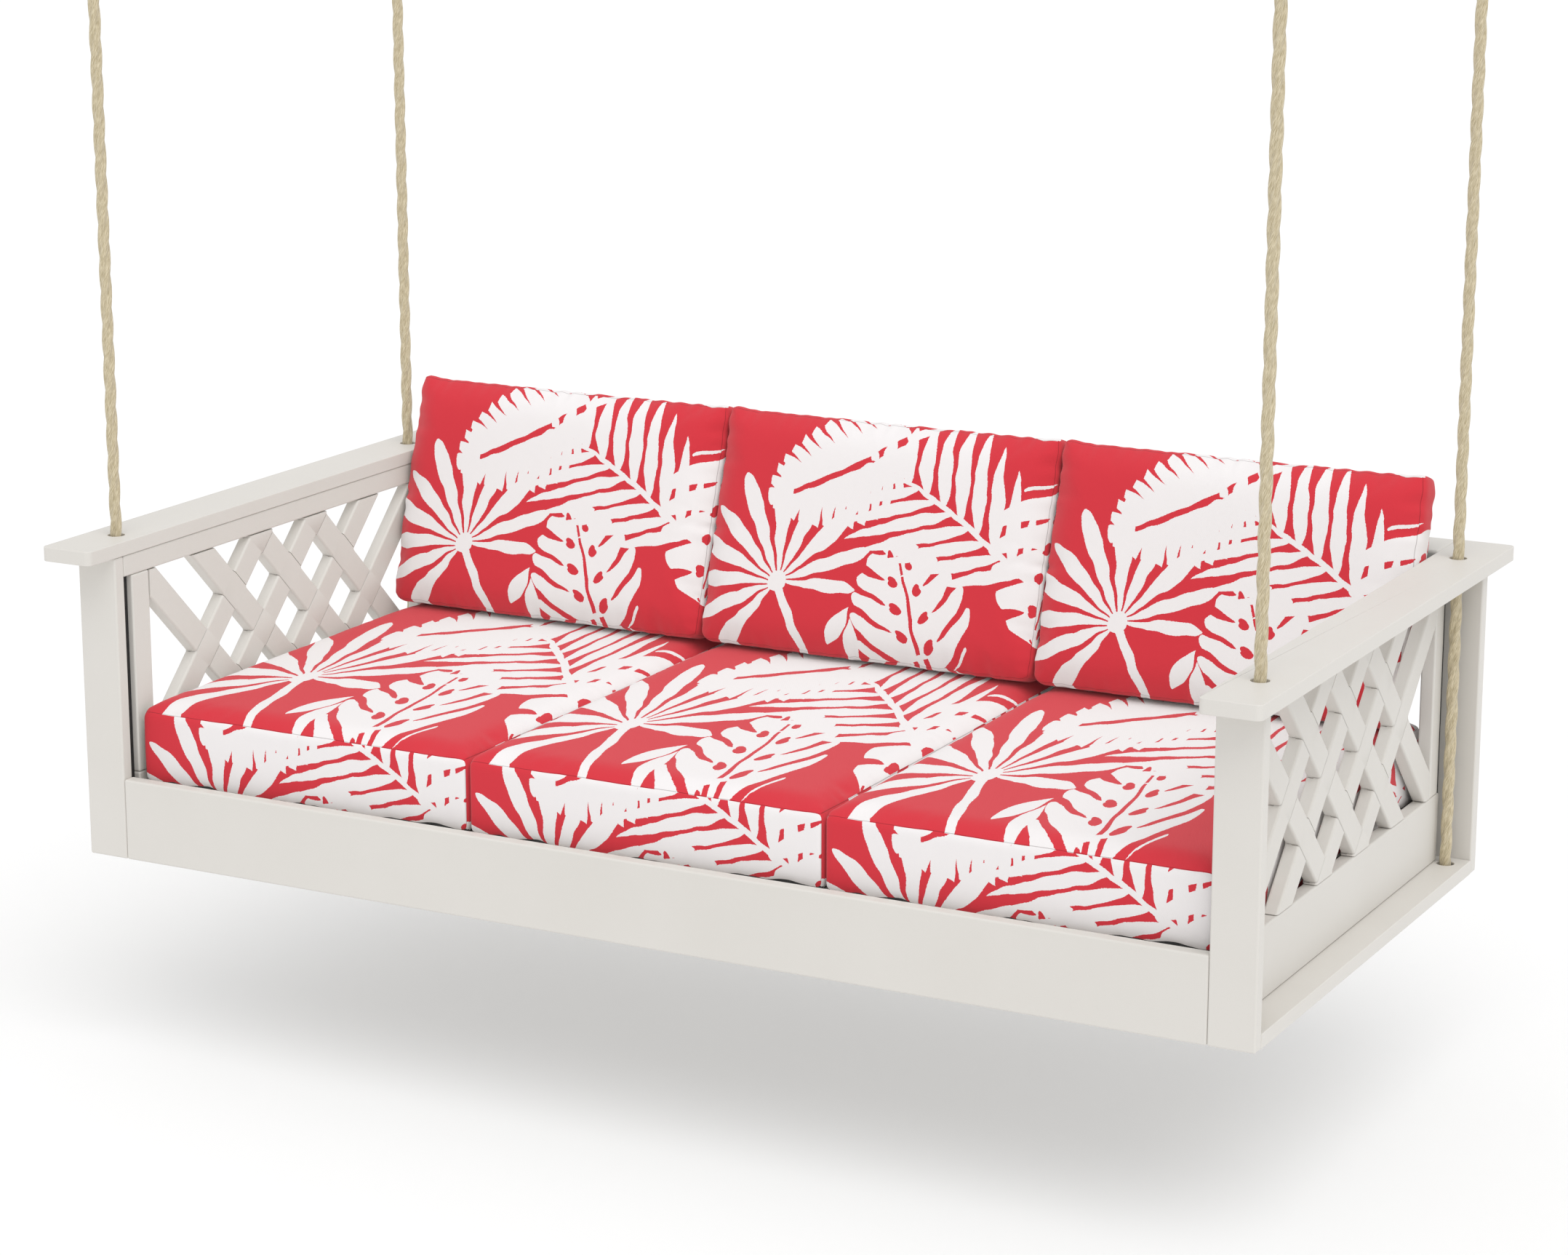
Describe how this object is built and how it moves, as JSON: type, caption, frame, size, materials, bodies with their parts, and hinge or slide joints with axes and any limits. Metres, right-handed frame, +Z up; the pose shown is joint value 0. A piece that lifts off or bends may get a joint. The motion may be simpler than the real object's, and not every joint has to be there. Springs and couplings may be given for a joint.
{
  "type": "porch swing",
  "caption": "Hanging porch swing bed with a boarded frame, woven lattice ends and loose seat and back cushions, hung level on ropes from ceiling hangers.",
  "frame": {"origin": "on the ceiling plane, in the middle of the four hanger plates", "axes": "+Z up; +X towards the right end as seen by someone facing the seat; the open front faces -Y"},
  "size_m": [2.141, 1.147, 1.654],
  "materials": {
    "lumber": "satin",
    "rope": "matte",
    "black_steel": "satin",
    "zinc_steel": "satin",
    "printed_fabric": "matte"
  },
  "bodies": {
    "ceiling_hangers": {"ceiling_hanger_front_left": "zinc_steel", "ceiling_hanger_rear_left": "zinc_steel", "ceiling_hanger_front_right": "zinc_steel", "ceiling_hanger_rear_right": "zinc_steel"},
    "front_ropes": {"rope_front_left": "rope", "rope_socket_front_left": "zinc_steel", "rope_front_right": "rope", "rope_socket_front_right": "zinc_steel"},
    "seat": {"post_front_left": "lumber", "post_rear_left": "lumber", "arm_left": "lumber", "bottom_board_left": "lumber", "panel_top_rail_left": "lumber", "panel_bottom_rail_left": "lumber", "stile_front_left": "lumber", "stile_rear_left": "lumber", "lattice_left": "lumber", "tie_strip_front_left": "black_steel", "tie_strip_rear_left": "black_steel", "post_front_right": "lumber", "post_rear_right": "lumber", "arm_right": "lumber", "bottom_board_right": "lumber", "panel_top_rail_right": "lumber", "panel_bottom_rail_right": "lumber", "stile_front_right": "lumber", "stile_rear_right": "lumber", "lattice_right": "lumber", "tie_strip_front_right": "black_steel", "tie_strip_rear_right": "black_steel", "front_rail": "lumber", "back_rail": "lumber", "back_top_rail": "lumber", "back_top_board": "lumber", "lattice_back": "lumber", "deck_board_1": "lumber", "deck_board_2": "lumber", "deck_board_3": "lumber", "deck_board_4": "lumber", "joist_left": "lumber", "joist_middle": "lumber", "joist_right": "lumber", "seat_cushion_left": "printed_fabric", "back_cushion_left": "printed_fabric", "seat_cushion_middle": "printed_fabric", "back_cushion_middle": "printed_fabric", "seat_cushion_right": "printed_fabric", "back_cushion_right": "printed_fabric", "rope_tail_front_left": "rope", "rope_stop_front_left": "zinc_steel", "rope_tail_rear_left": "rope", "rope_stop_rear_left": "zinc_steel", "rope_tail_front_right": "rope", "rope_stop_front_right": "zinc_steel", "rope_tail_rear_right": "rope", "rope_stop_rear_right": "zinc_steel"},
    "rear_ropes": {"rope_rear_left": "rope", "rope_socket_rear_left": "zinc_steel", "rope_rear_right": "rope", "rope_socket_rear_right": "zinc_steel"}
  },
  "joints": [
    {"name": "front_swing", "type": "hinge", "parent": "ceiling_hangers", "child": "front_ropes", "pos_m": [0, -0.4415, -0.05], "axis": [1, 0, 0], "range_deg": [-20, 20]},
    {"name": "seat_level", "type": "hinge", "parent": "front_ropes", "child": "seat", "pos_m": [0, -0.4415, -1.0872], "axis": [1, 0, 0], "range_deg": [-20, 20]},
    {"name": "rear_swing", "type": "hinge", "parent": "seat", "child": "rear_ropes", "pos_m": [0, 0.4415, -1.0872], "axis": [1, 0, 0], "range_deg": [-20, 20]}
  ],
  "couplings": [
    {"joint": "seat_level", "follows": "front_swing", "ratio": -1},
    {"joint": "rear_swing", "follows": "front_swing", "ratio": 1}
  ]
}
